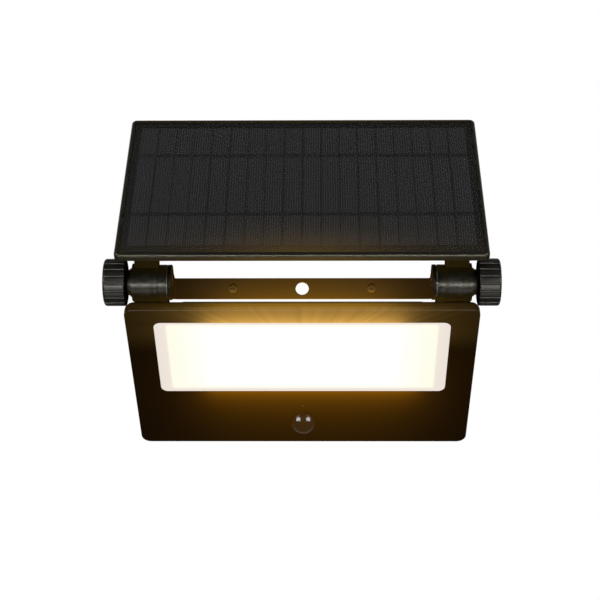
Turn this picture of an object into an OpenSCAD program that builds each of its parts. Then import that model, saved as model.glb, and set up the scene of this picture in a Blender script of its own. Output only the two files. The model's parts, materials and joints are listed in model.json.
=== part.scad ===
// Folding solar flood light. A solar panel and a lamp head tilt on one hinge line, and a ribbed
// knob at each end of a steel wall strap clamps them. Millimetres, +Z up. The wall is the plane
// Y = 0, the light looks towards -Y, and the origin is the centre hole on the back of the strap.

/* [Wall strap] */
// Distance from the head's side edge to the inner face of the strap's ear
ear_inset = 25.9; // [24:0.1:28]
// Height of the strap
strap_h = 11.5; // [9:0.5:13]
// Thickness of the strap and its ears
strap_t = 2; // [1.4:0.1:2.4]
// Radius of the round ends of the ears and of the head's hinge rings
ear_r = 9.6; // [8.8:0.1:10]
// Distance from the wall to the hinge line
axis_out = 16; // [15.5:0.5:20]
// Diameter of the centre mounting hole
strap_hole_d = 7.3; // [5:0.1:8.4]
// Distance of each side screw from the centre hole
side_screw_x = 38; // [20:1:55]

/* [Hinge] */
// Diameter of the threaded hinge studs
stud_d = 5; // [4:0.5:6]
// Radius of the panel's hinge barrels
barrel_r = 10.3; // [9.8:0.1:10.8]
// Width of the head's hinge rings
head_ring_w = 4.5; // [3.6:0.1:5.4]
// Thickness of the friction washers between the ears and the head's rings
friction_washer_t = 0.5; // [0.3:0.1:0.8]
// Thickness of the steel washers under the knobs
knob_washer_t = 1; // [0.8:0.1:1.4]
// Diameter of the knobs over their ribs
knob_d = 25.6; // [22:0.2:27]
// Width of the ribbed part of a knob
knob_w = 11.6; // [9:0.2:14]
// Number of ribs on a knob
knob_ribs = 20; // [16:1:26]

/* [Solar panel] */
// Width of the panel
panel_w = 200.8; // [196:0.2:206]
// Length of the panel from its hinge edge to its far edge
panel_l = 117.4; // [114:0.2:122]
// Thickness of the panel's edge
panel_t = 5; // [4.4:0.1:6.5]
// Distance from the hinge line to the back of the panel
panel_back = 15.2; // [13.6:0.1:17]
// Radius of the panel's corners
panel_corner_r = 3; // [2.8:0.2:6]
// Width of the raised rim round the panel
panel_rim = 2.2; // [1.6:0.1:3]
// Number of cell strips side by side
cell_strips = 18; // [12:1:22]
// Gap between neighbouring cell strips
cell_gap = 0.4; // [0.2:0.1:1]
// Bare border beside the first and last strip
side_margin = 6.2; // [5:0.1:12]
// Bare border at the far edge
far_margin = 7.5; // [5:0.1:12]
// Bare border at the hinge edge
near_margin = 8.8; // [5:0.1:12]
// Thickness of the clear cover over the cells
cover_t = 0.8; // [0.6:0.1:1.2]

/* [Lamp head] */
// Width of the head
head_w = 192; // [186:0.2:196]
// Length of the head from its hinge edge to its far edge
head_l = 119.2; // [114:0.2:126]
// Thickness of the head's edge
head_t = 8; // [7.4:0.1:10]
// Distance from the hinge line to the flat back of the head
head_back = 8.4; // [8:0.1:10]
// Radius of the head's corners
head_corner_r = 5.5; // [4.5:0.1:9]
// Radius of the rounded edge round the back of the head
back_edge_r = 4; // [2.5:0.1:4.4]
// Thickness of the housing's walls
wall_t = 2; // [1.6:0.1:2.4]
// Thickness of the glossy front bezel
bezel_t = 2.2; // [1.8:0.1:2.6]
// Distance from the head's side edges to the window
window_side = 15.3; // [14:0.1:20]
// Distance from the window to the head's far edge
window_bottom = 48.8; // [46:0.2:56]
// Distance from the head's hinge edge to the window
window_top = 10.6; // [9.6:0.2:13]
// Radius of the window's corners
window_corner_r = 4; // [2:0.5:6]
// White border between the window's side edges and the lit field
lit_side = 6.5; // [4:0.5:9]
// White border between the window's long edges and the lit field
lit_end = 3.4; // [2.5:0.1:5]
// LED chips in a row
led_columns = 12; // [6:1:14]
// Rows of LED chips
led_rows = 4; // [2:1:5]
// Radius of the motion sensor's dome
dome_r = 7.5; // [6.5:0.1:8.5]
// Distance from the head's far edge to the middle of the dome
dome_up = 21; // [18:0.5:24]
// Distance from the middle of the dome to the indicator
indicator_up = 14; // [11:0.5:16]
// Diameter of the indicator's light pipe
indicator_d = 1.1; // [0.8:0.1:2]
// Diameter of the battery cell
battery_d = 18.3; // [16:0.1:18.6]
// Length of the battery cell
battery_l = 50; // [48:0.5:56]
// Diameter of the power button
button_d = 9; // [7:0.5:12]
// Travel of the power button
button_travel = 1; // [0.6:0.1:1.4]

/* [Pose] */
// How far the panel leans back from upright, in degrees
panel_lean = 32.5; // [0:0.5:90]
// How far the head swings back from hanging straight down, in degrees
head_swing = 61.5; // [0:0.5:90]

/* [Hidden] */
$fn = 64;
arc_steps = 8;
slice = 0.01;

// Clearances: press and seated fits, running fits, and gaps between parts that move
seat = 0.1;
running = 0.05;
gap = 0.2;
swing_gap = 4;

// Stack of one hinge, from the inner face of the ear outwards along X
ear_in = head_w / 2 - ear_inset;
ear_out = ear_in + strap_t;
head_ring_in = ear_out + friction_washer_t + seat;
head_ring_out = head_ring_in + head_ring_w;
barrel_in = head_ring_out + gap;
boss_w = 1.25;
knob_tuck = 0.2 * head_corner_r;
knob_in = head_w / 2 - knob_tuck;
knob_out = knob_in + knob_w;
knob_hub_in = knob_in - boss_w;
boss_out = knob_hub_in - knob_washer_t - seat;
barrel_out = boss_out - boss_w;
boss_r = 0.75 * barrel_r;
neck_step = 1.7;
stud_r = stud_d / 2;
bore_r = stud_r + running;
knob_wall = 4;
stud_end = knob_out - 0.85 * knob_wall;
knob_r = knob_d / 2;
knob_groove_r = 0.19 * 2 * PI * knob_r / knob_ribs;
knob_round = 1.4;
knob_dish = 0.7;
hub_r = knob_r / 2;
insert_r = stud_r + 1.4;
bend_r = 1;

// Screws
screw_r = 1.3;
screw_head_r = 2.6;
screw_head_h = 1.5;
screw_bite = 1.6;
screw_sink = 0.6;

// Panel levels along its normal, from the hinge line outwards
lip = 0.15;
busbar_t = 0.12;
cell_t = 0.3;
panel_board_t = 1.2;
panel_edge_r = panel_t / 5;
panel_rim_r = 2 * panel_edge_r;
panel_face = panel_back + panel_t;
cover_z = panel_face - lip - cover_t;
busbar_z = cover_z - busbar_t;
cell_z = busbar_z - cell_t;
panel_board_z = cell_z - panel_board_t;
cells_w = panel_w - 2 * side_margin;
cells_l = panel_l - near_margin - far_margin;
cell_pitch = (cells_w + cell_gap) / cell_strips;
busbar_w = 1;
recess_w = panel_w - 2 * panel_rim;
recess_l = panel_l - 2 * panel_rim;
recess_corner_r = max(panel_corner_r - panel_rim, 0.6);
rib_h = 1;
rib_w = 1.6;
foot_t = 3.2;
panel_foot_l = 32;
panel_pad_l = 13;
panel_foot_screws = [22, 28.5];
terminal_w = 34;
terminal_l = 20;
terminal_h = 5;
terminal_y = 24;
terminal_wall = 1.2;
grommet_r = 2.2;
head_grommet_r = 1.3 * grommet_r;
sleeve_share = 0.6;
panel_ribs = 7;
rib_start = 50;
rib_end = 8;
rib_field = 0.6 * panel_w;

// Head levels along its normal, from the hinge line outwards
head_face = head_back + head_t;
bezel_z = head_face - bezel_t;
floor_z = head_back + wall_t;
gasket_t = 0.4;
lens_flange_t = 1.2;
seal_w = 0.8;
seal_h = 0.8;
seal_in = 0.6;
dome_sink = 1.3;
dome_flange_t = 1;
lens_z = bezel_z - gasket_t - lens_flange_t;
front_edge_r = min(1, bezel_t / 2);
sensor_can_h = 4.2;
control_z = bezel_z - sensor_can_h - gap;
control_t = 1.6;
led_board_t = 1.2;
led_board_z = floor_z - 2.8;
chip_h = 0.8;

// The head's hinge edge stands off so that its rounded back edge clears the barrels
edge_gap = 0.5;
head_top = sqrt(pow(barrel_r + edge_gap + back_edge_r, 2) - pow(head_back + back_edge_r, 2)) - back_edge_r;
head_mid = -head_top - head_l / 2;
head_end = -head_top - head_l;
window_w = head_w - 2 * window_side;
window_l = head_l - window_top - window_bottom;
window_mid = -head_top - window_top - window_l / 2;
dome_y = head_end + dome_up;
indicator_y = dome_y + indicator_up;

// The deep rear box starts where it clears the strap as the head folds back
battery_r = battery_d / 2;
box_back = bezel_z - 0.3 - battery_d - gap - wall_t;
box_floor = box_back + wall_t;
box_top = -norm([axis_out, strap_h / 2]) - swing_gap;
box_up = 9;
box_end = head_end + box_up;
box_mid = (box_top + box_end) / 2;
box_w = 2 * (head_ring_in - 0.6);
box_l = box_top - box_end;
box_corner_r = 7;
box_edge_r = 3.5;
cavity_w = box_w - 2 * wall_t;
cavity_l = box_l - 2 * wall_t;
cavity_top = box_top - wall_t;

// Optics: the reflector tapers above the housing's floor, then drops straight to the LED board
lens_border = 3;
reflector_wall = 1;
board_corner_r = box_corner_r - wall_t;
lit_w = window_w - 2 * lit_side;
lit_l = window_l - 2 * lit_end;
throat_w = min(lit_w - 2, cavity_w - 2 * (reflector_wall + 0.5));
throat_l = min(lit_l - 2, 2 * (cavity_top - window_mid - reflector_wall - 0.5));
led_board_w = throat_w + 2 * reflector_wall;
led_board_l = throat_l + 2 * reflector_wall;
chip_w = 3.5;
chip_l = 2.8;

// Battery and control board share the space below the window
cradle_wall = 1.2;
battery_y = box_end + wall_t + cradle_wall + gap + battery_r;
battery_z = box_floor + gap + battery_r;
battery_x = -cavity_w / 2 + 2;
saddle_w = 5;
saddle_inset = 8;
control_x = -6;
control_w = cavity_w / 2 - control_x - 4;
control_l = 27;
coil_h = 4;
socket_h = 5;
control_y = box_end + wall_t + 1 + control_l / 2;
button_x = 45;
button_y = control_y;
button_r = button_d / 2;
button_proud = 0.8;
button_flange_t = 1;
switch_w = 6;
switch_h = 3.5;
plunger_h = 0.7;
plunger_r = 1.7;

// Joints between the head's shells and its arms
screw_side = 6.9;
screw_top = 12;
screw_bottom = 10;
housing_screw_x = head_w / 2 - screw_side;
housing_screw_y = [-head_top - screw_top, head_mid, head_end + screw_bottom];
head_foot_top = -18;
head_foot_l = 16;
head_foot_w = 8;
head_foot_x = head_ring_out + head_foot_w;
head_foot_edge = -sqrt(pow(barrel_r + edge_gap, 2) - pow(head_back - foot_t, 2));
head_lip_l = 3.2;
head_foot_screws = [-22.5, -29.5];
post_bite = 2.4;
grommet_x = 30;

// Points on an arc from angle a to angle b
function arc(centre, r, a, b, steps = arc_steps) =
    [for (i = [0:steps]) let (t = a + (b - a) * i / steps) centre + r * [cos(t), sin(t)]];

// Outline of a rectangle with round corners, centred on the origin
function rounded(w, l, r) = concat(
    arc([w / 2 - r, l / 2 - r], r, 0, 90),
    arc([r - w / 2, l / 2 - r], r, 90, 180),
    arc([r - w / 2, r - l / 2], r, 180, 270),
    arc([w / 2 - r, r - l / 2], r, 270, 360)
);

// A plate with round corners that fills z to z + t
module plate(w, l, t, r, z = 0) translate([0, 0, z]) linear_extrude(t) polygon(rounded(w, l, r));

// A round-cornered frame, w by l outside, whose border is b wide
module frame(w, l, t, r, b, z = 0) difference() {
    plate(w, l, t, r, z);
    plate(w - 2 * b, l - 2 * b, t + 2, max(r - b, 0.5), z - 1);
}

// How an edge of radius edge curves over, as [inset, drop] steps from its rim to its side
function edge_steps(edge) = edge > 0 ? [for (a = [90:-18:0]) edge * [1 - cos(a), 1 - sin(a)]] : [[0, 0]];

// A slab with round corners whose edge is rounded by low at the bottom and high at the top
module pillow(w, l, t, r, low, high) {
    top_steps = edge_steps(high);
    rings = concat(
        edge_steps(low),
        [for (i = [len(top_steps) - 1:-1:0]) [top_steps[i][0], t - top_steps[i][1]]]
    );
    n = len(rounded(w, l, r));
    last = len(rings) - 1;
    polyhedron(
        [for (ring = rings) each [
            for (p = rounded(w - 2 * ring[0], l - 2 * ring[0], r - ring[0])) [p[0], p[1], ring[1]]
        ]],
        concat(
            [[for (i = [0:n - 1]) i], [for (i = [n - 1:-1:0]) last * n + i]],
            [for (k = [0:last - 1], i = [0:n - 1]) let (j = (i + 1) % n)
                [k * n + i, (k + 1) * n + i, (k + 1) * n + j, k * n + j]]
        )
    );
}

// Extrudes a (y, z) profile from x0 to x1
module along_x(x0, x1) translate([x0, 0, 0]) rotate([90, 0, 90]) linear_extrude(x1 - x0) children();

// Round bar and hole along X
module bar_x(r, x0, x1) translate([x0, 0, 0]) rotate([0, 90, 0]) cylinder(r = r, h = x1 - x0);

// Revolves [radius, x] points round the X axis
module revolve_x(points) rotate([0, 90, 0]) rotate_extrude() polygon(points);

// Puts a left and a right copy
module both_sides() {
    children();
    mirror([1, 0, 0]) children();
}

// The hinge line
module at_hinge() translate([0, -axis_out, 0]) children();

// Panel frame: x across, y from the hinge line to the far edge, z out of the glass face
module on_panel() at_hinge() rotate([90 - panel_lean, 0, 0]) children();

// Head frame: x across, -y from the hinge line to the far edge, z out of the lit face
module on_head() at_hinge() rotate([90 + head_swing, 0, 0]) children();

// Pan-head screw with a cross recess. The head's underside is at z = 0 and the shank runs to -length.
module pan_screw(length, r = screw_r, head_r = screw_head_r, head_h = screw_head_h) difference() {
    rotate_extrude() polygon(concat(
        [[0, -length], [r, -length], [r, 0], [head_r, 0]],
        arc([head_r - head_h * 0.7, head_h * 0.3], head_h * 0.7, 0, 90),
        [[0, head_h]]
    ));
    for (a = [0, 90]) rotate(a)
        translate([-head_r * 0.58, -head_r * 0.13, head_h * 0.4])
            cube([head_r * 1.16, head_r * 0.26, head_h]);
}

// ---- Bracket ----

// Top view of the strap with its bends, from the ear's inner corner to the wall
module strap_profile() {
    outer_r = bend_r + strap_t;
    polygon(concat(
        [[ear_out, -axis_out]],
        arc([ear_out - outer_r, -outer_r], outer_r, 0, 90),
        arc([outer_r - ear_out, -outer_r], outer_r, 90, 180),
        [[-ear_out, -axis_out], [-ear_in, -axis_out]],
        arc([bend_r - ear_in, -strap_t - bend_r], bend_r, 180, 90),
        arc([ear_in - bend_r, -strap_t - bend_r], bend_r, 90, 0),
        [[ear_in, -axis_out]]
    ));
}

// Side view of an ear: round at the hinge, tapering back to the strap
module ear_profile() {
    neck = axis_out - strap_t - bend_r;
    circle(ear_r);
    polygon([[-1, 0.88 * ear_r], [neck, strap_h / 2], [neck, -strap_h / 2], [-1, -0.88 * ear_r]]);
}

module wall_strap() color("#2b2a28") difference() {
    union() {
        translate([0, 0, -strap_h / 2]) linear_extrude(strap_h) strap_profile();
        both_sides() at_hinge() along_x(ear_in, ear_out) ear_profile();
    }
    translate([0, 1, 0]) rotate([90, 0, 0]) cylinder(d = strap_hole_d, h = strap_t + 2);
    both_sides() translate([side_screw_x, 1, 0]) rotate([90, 0, 0])
        cylinder(r = screw_r + running, h = strap_t + 2);
    both_sides() at_hinge() bar_x(stud_r, ear_in - 1, ear_out + 1);
}

// Short screws that fill the side holes and end just inside the back face
module strap_screws() color("#34322f")
    both_sides() translate([side_screw_x, -strap_t, 0]) rotate([90, 0, 0])
        pan_screw(strap_t - seat);

module hinge_studs() color("#8f9194")
    both_sides() at_hinge() difference() {
        bar_x(stud_r, ear_in, stud_end);
        rotate([0, 90, 0]) translate([0, 0, ear_in - 1]) cylinder(r = stud_r * 0.5, h = 1.8, $fn = 6);
    }

module friction_washers() color("#5c5a55")
    both_sides() at_hinge() difference() {
        bar_x(ear_r - 1.2, ear_out, ear_out + friction_washer_t);
        bar_x(bore_r, ear_out - 1, ear_out + friction_washer_t + 1);
    }

// ---- Solar panel ----

module at_panel_middle(z) translate([0, panel_l / 2, z]) children();

module panel_tray() color("#1d1c1b") on_panel() difference() {
    union() {
        at_panel_middle(panel_back)
            pillow(panel_w, panel_l, panel_t, panel_corner_r, panel_edge_r, panel_rim_r);
        for (i = [0:panel_ribs - 1])
            translate([(i / (panel_ribs - 1) - 0.5) * rib_field - rib_w / 2, rib_start, panel_back - rib_h])
                cube([rib_w, panel_l - rib_start - rib_end, rib_h + 0.5]);
        for (y = [rib_start, panel_l - rib_end - rib_w])
            translate([-(rib_field + rib_w) / 2, y, panel_back - rib_h])
                cube([rib_field + rib_w, rib_w, rib_h + 0.5]);
    }
    at_panel_middle(panel_board_z) plate(recess_w, recess_l, panel_t, recess_corner_r);
    both_sides() for (y = panel_foot_screws) panel_screw_hole(y);
    translate([0, terminal_y + terminal_l / 2, panel_back - rib_h - 1]) cylinder(r = 3, h = panel_t);
}

module panel_screw_hole(y) translate([(barrel_in + barrel_out) / 2, y, panel_back - foot_t - 1])
    cylinder(r = screw_r + running, h = foot_t + 1 + screw_bite + seat);

module panel_board() color("#101418") on_panel()
    at_panel_middle(panel_board_z)
        plate(recess_w - 2 * seat, recess_l - 2 * seat, panel_board_t, recess_corner_r);

// Lower left corner of each cell strip
module at_each_strip() for (i = [0:cell_strips - 1])
    translate([i * cell_pitch - cells_w / 2, near_margin, 0]) children();

module solar_cells() color("#23252b") on_panel() at_each_strip()
    translate([0, 0, cell_z]) cube([cell_pitch - cell_gap, cells_l, cell_t]);

module cell_busbars() color("#6c6f76") on_panel() at_each_strip()
    for (share = [0.25, 0.75])
        translate([0, share * cells_l - busbar_w / 2, busbar_z])
            cube([cell_pitch - cell_gap, busbar_w, busbar_t]);

module panel_cover() color([0.16, 0.17, 0.19, 0.5]) on_panel()
    at_panel_middle(cover_z) plate(recess_w - 2 * seat, recess_l - 2 * seat, cover_t, recess_corner_r);

// Side view of a panel arm's neck: from the barrel to the foot that lies on the back of the tray
module panel_neck_profile() polygon([
    [0.6, panel_back], [0.6, barrel_r / 2], [0.92 * barrel_r, 0.3 * barrel_r],
    [panel_foot_l - panel_pad_l, panel_back - foot_t], [panel_foot_l, panel_back - foot_t],
    [panel_foot_l, panel_back]
]);

module panel_arm() color("#201f1e") on_panel() difference() {
    union() {
        bar_x(barrel_r, barrel_in, barrel_out);
        along_x(barrel_in, barrel_out - neck_step) panel_neck_profile();
        bar_x(boss_r, barrel_out - 1, boss_out);
    }
    bar_x(bore_r, barrel_in - 1, boss_out + 1);
    for (y = panel_foot_screws) panel_screw_hole(y);
}

module panel_arm_left() mirror([1, 0, 0]) panel_arm();
module panel_arm_right() panel_arm();

module panel_arm_screws() color("#7d7f82") both_sides() on_panel()
    for (y = panel_foot_screws)
        translate([(barrel_in + barrel_out) / 2, y, panel_back - foot_t]) mirror([0, 0, 1])
            pan_screw(foot_t + screw_bite);

// Low cap over the panel's solder joints, open towards the tray
module terminal_cover() color("#1b1a19") on_panel() translate([0, terminal_y, 0]) difference() {
    translate([0, terminal_l / 2, panel_back]) mirror([0, 0, 1])
        pillow(terminal_w, terminal_l, terminal_h, 4, 0, 1.2);
    translate([0, terminal_l / 2, panel_back - terminal_h + terminal_wall])
        plate(terminal_w - 2 * terminal_wall, terminal_l - 2 * terminal_wall, terminal_h, 3);
    translate([0, -1, panel_back - terminal_h / 2]) rotate([-90, 0, 0]) cylinder(r = 1.4, h = terminal_l / 2);
}

// Rubber lead gland: a lipped sleeve along +y that stands in front of a wall at y = 0
module grommet(r, through) rotate([-90, 0, 0]) difference() {
    union() {
        translate([0, 0, -1.5]) cylinder(r1 = r - 0.4, r2 = r, h = 1.5);
        cylinder(r = r * sleeve_share, h = through);
    }
    translate([0, 0, -3]) cylinder(r = r * 0.35, h = through + 4);
}

module panel_grommet() color("#151515") on_panel()
    translate([0, terminal_y, panel_back - terminal_h / 2]) grommet(grommet_r, terminal_wall + 0.6);

// ---- Lamp head ----

module at_head_middle(z) translate([0, head_mid, z]) children();
module at_window(z) translate([0, window_mid, z]) children();

module at_housing_screws() for (x = [-housing_screw_x, housing_screw_x], y = housing_screw_y)
    translate([x, y, 0]) children();

module at_head_foot_screws() both_sides() for (y = head_foot_screws)
    translate([(head_ring_out + head_foot_x) / 2, y, 0]) children();

// Posts in the rear box that carry the two boards
module board_posts() {
    for (x = [-0.38, 0.38], y = [-0.32, 0.32])
        translate([x * led_board_w, window_mid + y * led_board_l, box_floor - 0.5])
            cylinder(r = 2.5, h = led_board_z - box_floor + 0.5);
    for (x = [control_x + 5, control_x + control_w - 5], y = [-1, 1])
        translate([x, control_y + y * (control_l / 2 - 4), box_floor - 0.5])
            cylinder(r = 2.2, h = control_z - control_t - box_floor + 0.5);
}

module head_housing() color("#1c1b1a") on_head() difference() {
    union() {
        difference() {
            union() {
                at_head_middle(head_back)
                    pillow(head_w, head_l, bezel_z - head_back, head_corner_r, back_edge_r, 0);
                translate([0, box_mid, box_back])
                    pillow(box_w, box_l, floor_z - box_back, box_corner_r, box_edge_r, 0);
            }
            at_head_middle(floor_z)
                plate(head_w - 2 * wall_t, head_l - 2 * wall_t, head_t, head_corner_r - wall_t / 2);
            translate([0, box_mid, box_floor])
                plate(cavity_w, cavity_l, head_face - box_floor, box_corner_r - wall_t);
        }
        board_posts();
    }
    at_head_middle(bezel_z - seal_h)
        frame(head_w - 2 * seal_in, head_l - 2 * seal_in, seal_h + 1, head_corner_r - seal_in, seal_w);
    at_housing_screws() translate([0, 0, head_back - 1]) {
        cylinder(r = screw_r + running, h = wall_t + 2);
        cylinder(r = screw_head_r + gap, h = 1 + screw_sink);
    }
    at_head_foot_screws() translate([0, 0, head_back - 1])
        cylinder(r = screw_r + running, h = 1 + wall_t - seat);
    translate([button_x, button_y, box_back - 1]) cylinder(r = button_r + gap, h = wall_t + 2);
    translate([grommet_x, box_top - wall_t - 1, 1]) rotate([-90, 0, 0])
        cylinder(r = head_grommet_r * sleeve_share, h = wall_t + 2);
}

module housing_seal() color("#0f0f0f") on_head() at_head_middle(bezel_z - seal_h)
    frame(head_w - 2 * seal_in, head_l - 2 * seal_in, seal_h, head_corner_r - seal_in, seal_w);

module front_bezel() color("#131211") on_head() difference() {
    union() {
        at_head_middle(bezel_z) pillow(head_w, head_l, bezel_t, head_corner_r, 0, front_edge_r);
        at_housing_screws() translate([0, 0, floor_z]) cylinder(r = screw_r + 1.5, h = bezel_z - floor_z + 1);
    }
    at_window(bezel_z - 1) plate(window_w, window_l, bezel_t + 2, window_corner_r);
    translate([0, dome_y, bezel_z - 1]) cylinder(r = dome_r + seat, h = bezel_t + 2);
    translate([0, dome_y, head_face - 0.7])
        cylinder(r1 = dome_r + seat, r2 = dome_r + seat + dome_sink, h = 0.7 + slice);
    translate([0, indicator_y, bezel_z - 1]) cylinder(d = indicator_d + 2 * running, h = bezel_t + 2);
    at_housing_screws() translate([0, 0, floor_z - 1])
        cylinder(r = screw_r + running, h = 1 + post_bite + seat);
}

// Frosted window: a plug that fills the bezel's opening, on a wider flange behind it
module window_lens() color([0.98, 0.95, 0.88, 0.8]) on_head() {
    at_window(lens_z) union() {
        plate(window_w + 2 * lens_border, window_l + 2 * lens_border, lens_flange_t, window_corner_r + 1);
        plate(
            window_w - 2 * seat, window_l - 2 * seat, head_face - lens_z - lip,
            window_corner_r - seat
        );
    }
}

module window_gasket() color("#0f0f0f") on_head() at_window(bezel_z - gasket_t)
    frame(
        window_w + 2 * lens_border, window_l + 2 * lens_border, gasket_t,
        window_corner_r + 1, lens_border - seat
    );

// White reflector: a flange under the lens, a tapered mouth and a straight throat
module reflector_tray() color("#f4efe6") on_head() at_window(0) difference() {
    union() {
        plate(
            window_w + 2 * lens_border, window_l + 2 * lens_border, lens_z - floor_z,
            window_corner_r + 1, floor_z
        );
        plate(
            led_board_w, led_board_l, lens_z - led_board_z - led_board_t,
            board_corner_r, led_board_z + led_board_t
        );
    }
    plate(throat_w, throat_l, lens_z, board_corner_r - reflector_wall, 0);
    hull() {
        plate(throat_w, throat_l, slice, board_corner_r - reflector_wall, floor_z + 0.4);
        plate(lit_w, lit_l, slice, board_corner_r, lens_z);
    }
}

module led_board() color("#e9e9e4") on_head() at_window(led_board_z)
    plate(led_board_w, led_board_l, led_board_t, board_corner_r);

module led_chips() color("#f6e08a") on_head() at_window(led_board_z + led_board_t)
    for (i = [0:led_columns - 1], j = [0:led_rows - 1])
        translate([
            (i + 0.5) * throat_w / led_columns - throat_w / 2 - chip_w / 2,
            (j + 0.5) * throat_l / led_rows - throat_l / 2 - chip_l / 2,
            0
        ]) cube([chip_w, chip_l, chip_h]);

module control_board() color("#1f5a37") on_head()
    translate([control_x + control_w / 2, control_y, 0])
        plate(control_w, control_l, control_t, 1.5, control_z - control_t);

// A place on the control board, as shares of its size from its inner end and its middle line
module on_board(across, along, z) translate([control_x + across * control_w, control_y + along * control_l, z])
    children();

module block(w, l, h) translate([-w / 2, -l / 2, 0]) cube([w, l, h]);

// Driver chips, indicator LED, inductor, capacitor and two plug sockets
module control_parts() color("#2a2c30") on_head() {
    on_board(0.44, -0.05, control_z) block(chip_w * 3, chip_l * 2.2, 1.5);
    on_board(0.65, 0, control_z) block(chip_w * 1.5, chip_l * 3, 1.2);
    translate([0, indicator_y, control_z]) block(2, 1.6, chip_h);
    on_board(0.27, 0, control_z - control_t - coil_h) cylinder(r = coil_h, h = coil_h);
    on_board(0.45, 0.2, control_z - control_t - 1.75 * coil_h) cylinder(r = 0.8 * coil_h, h = 1.75 * coil_h);
    for (share = [0.36, 0.52]) on_board(share, -0.3, control_z - control_t - socket_h)
        block(1.6 * socket_h, 1.1 * socket_h, socket_h);
}

module battery_cell() color("#3f6fb0") on_head()
    translate([battery_x, battery_y, battery_z]) {
        bar_x(battery_r, 0, battery_l - 0.8);
        bar_x(battery_r * 0.3, battery_l - 1.3, battery_l);
    }

// Two saddles joined by side rails
module battery_cradle() color("#26241f") on_head() translate([battery_x, battery_y, 0]) difference() {
    union() {
        for (x = [saddle_inset, battery_l - saddle_inset - saddle_w])
            translate([x, -battery_r - cradle_wall, box_floor])
                cube([saddle_w, battery_d + 2 * cradle_wall, battery_z - box_floor]);
        for (y = [-battery_r - cradle_wall, battery_r]) translate([saddle_inset, y, box_floor])
            cube([battery_l - 2 * saddle_inset, cradle_wall, 5]);
    }
    translate([0, 0, battery_z]) bar_x(battery_r + seat / 2, 0, battery_l);
}

// Hemispherical lens on a skirt and flange
module pir_dome() color([0.2, 0.19, 0.18, 0.8]) on_head() translate([0, dome_y, 0])
    rotate_extrude() polygon(concat(
        [[dome_r - 1, bezel_z - dome_flange_t], [dome_r + 1.6, bezel_z - dome_flange_t]],
        [[dome_r + 1.6, bezel_z], [dome_r, bezel_z]],
        arc([0, head_face], dome_r, 0, 90, 16),
        arc([0, head_face], dome_r - 1, 90, 0, 16)
    ));

module pir_retainer() color("#1a1917") on_head() translate([0, dome_y, 0]) difference() {
    translate([0, 0, control_z]) cylinder(r = dome_r + 1.6, h = bezel_z - dome_flange_t - control_z);
    translate([0, 0, control_z - 1]) cylinder(r = dome_r - 1, h = sensor_can_h + 2);
}

// Metal sensor can with a square window
module pir_sensor() color("#b9b7b0") on_head() translate([0, dome_y, control_z]) difference() {
    union() {
        cylinder(r = 4.6, h = sensor_can_h);
        cylinder(r = 5, h = 0.6);
    }
    translate([-1.8, -1.4, sensor_can_h - 0.4]) cube([3.6, 2.8, 1]);
}

module indicator_pipe() color([0.9, 0.3, 0.2, 0.9]) on_head() translate([0, indicator_y, 0]) {
    cylinder_between(indicator_d / 2, control_z + chip_h + gap, head_face - 0.1);
    cylinder_between(indicator_d / 2 + 0.8, bezel_z - 1, bezel_z);
}

module cylinder_between(r, z0, z1) translate([0, 0, z0]) cylinder(r = r, h = z1 - z0);

// Push switch on the back of the control board, under the power button
module power_switch() color("#44464a") on_head()
    translate([button_x, button_y, control_z - control_t]) mirror([0, 0, 1]) {
        translate([-switch_w / 2, -switch_w / 2, 0]) cube([switch_w, switch_w, switch_h]);
        cylinder_between(plunger_r, switch_h - 0.2, switch_h + plunger_h);
    }

// Power button: a domed cap outside, a flange that keeps it in, and a stem to the switch
module power_button() color("#2f2d2a") on_head() translate([button_x, button_y, 0]) {
    stem_end = control_z - control_t - switch_h - plunger_h - button_travel - seat;
    top = box_back - button_proud;
    flange = box_floor + seat;
    rotate_extrude() polygon(concat(
        [[0, top]],
        arc([button_r - 1, top + 1], 1, -90, 0, 4),
        [
            [button_r, flange], [button_r + 1.2, flange],
            [button_r + 1.2, flange + button_flange_t], [plunger_r, flange + button_flange_t],
            [plunger_r, stem_end], [0, stem_end]
        ]
    ));
}

module head_grommet() color("#151515") on_head()
    translate([grommet_x, box_top, 1]) mirror([0, 1, 0]) grommet(head_grommet_r, wall_t + 0.6);

// Side view of a head arm: ring and a tapering web along the back of the head
module head_arm_profile() {
    low = head_foot_top - head_foot_l;
    circle(ear_r);
    polygon([
        [-foot_t, head_back], [low, head_back], [low, head_back - foot_t],
        [head_foot_top, head_back - 2.3 * foot_t], [-0.75 * ear_r, -0.5 * ear_r]
    ]);
}

// A pad on the back of the housing, from the ring out to x and from y up to the panel's barrel
module head_foot(x, y) translate([head_ring_out - 1, y, head_back - foot_t])
    cube([x - head_ring_out + 1, head_foot_edge - y, foot_t]);

module head_arm() color("#201f1e") on_head() difference() {
    union() {
        along_x(head_ring_in, head_ring_out) head_arm_profile();
        head_foot(head_foot_x, head_foot_top - head_foot_l);
        head_foot(barrel_out, head_foot_edge - head_lip_l);
    }
    bar_x(bore_r, head_ring_in - 1, head_ring_out + 1);
    at_head_foot_screws() translate([0, 0, head_back - foot_t - 1])
        cylinder(r = screw_r + running, h = foot_t + 2);
}

module head_arm_left() mirror([1, 0, 0]) head_arm();
module head_arm_right() head_arm();

module head_arm_screws() color("#7d7f82") on_head() at_head_foot_screws()
    translate([0, 0, head_back - foot_t]) mirror([0, 0, 1]) pan_screw(foot_t + wall_t - 2 * seat);

module housing_screws() color("#7d7f82") on_head() at_housing_screws()
    translate([0, 0, head_back + screw_sink]) mirror([0, 0, 1])
        pan_screw(wall_t - screw_sink + post_bite, head_h = 2 * screw_sink);

// ---- Clamp knobs ----

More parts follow.
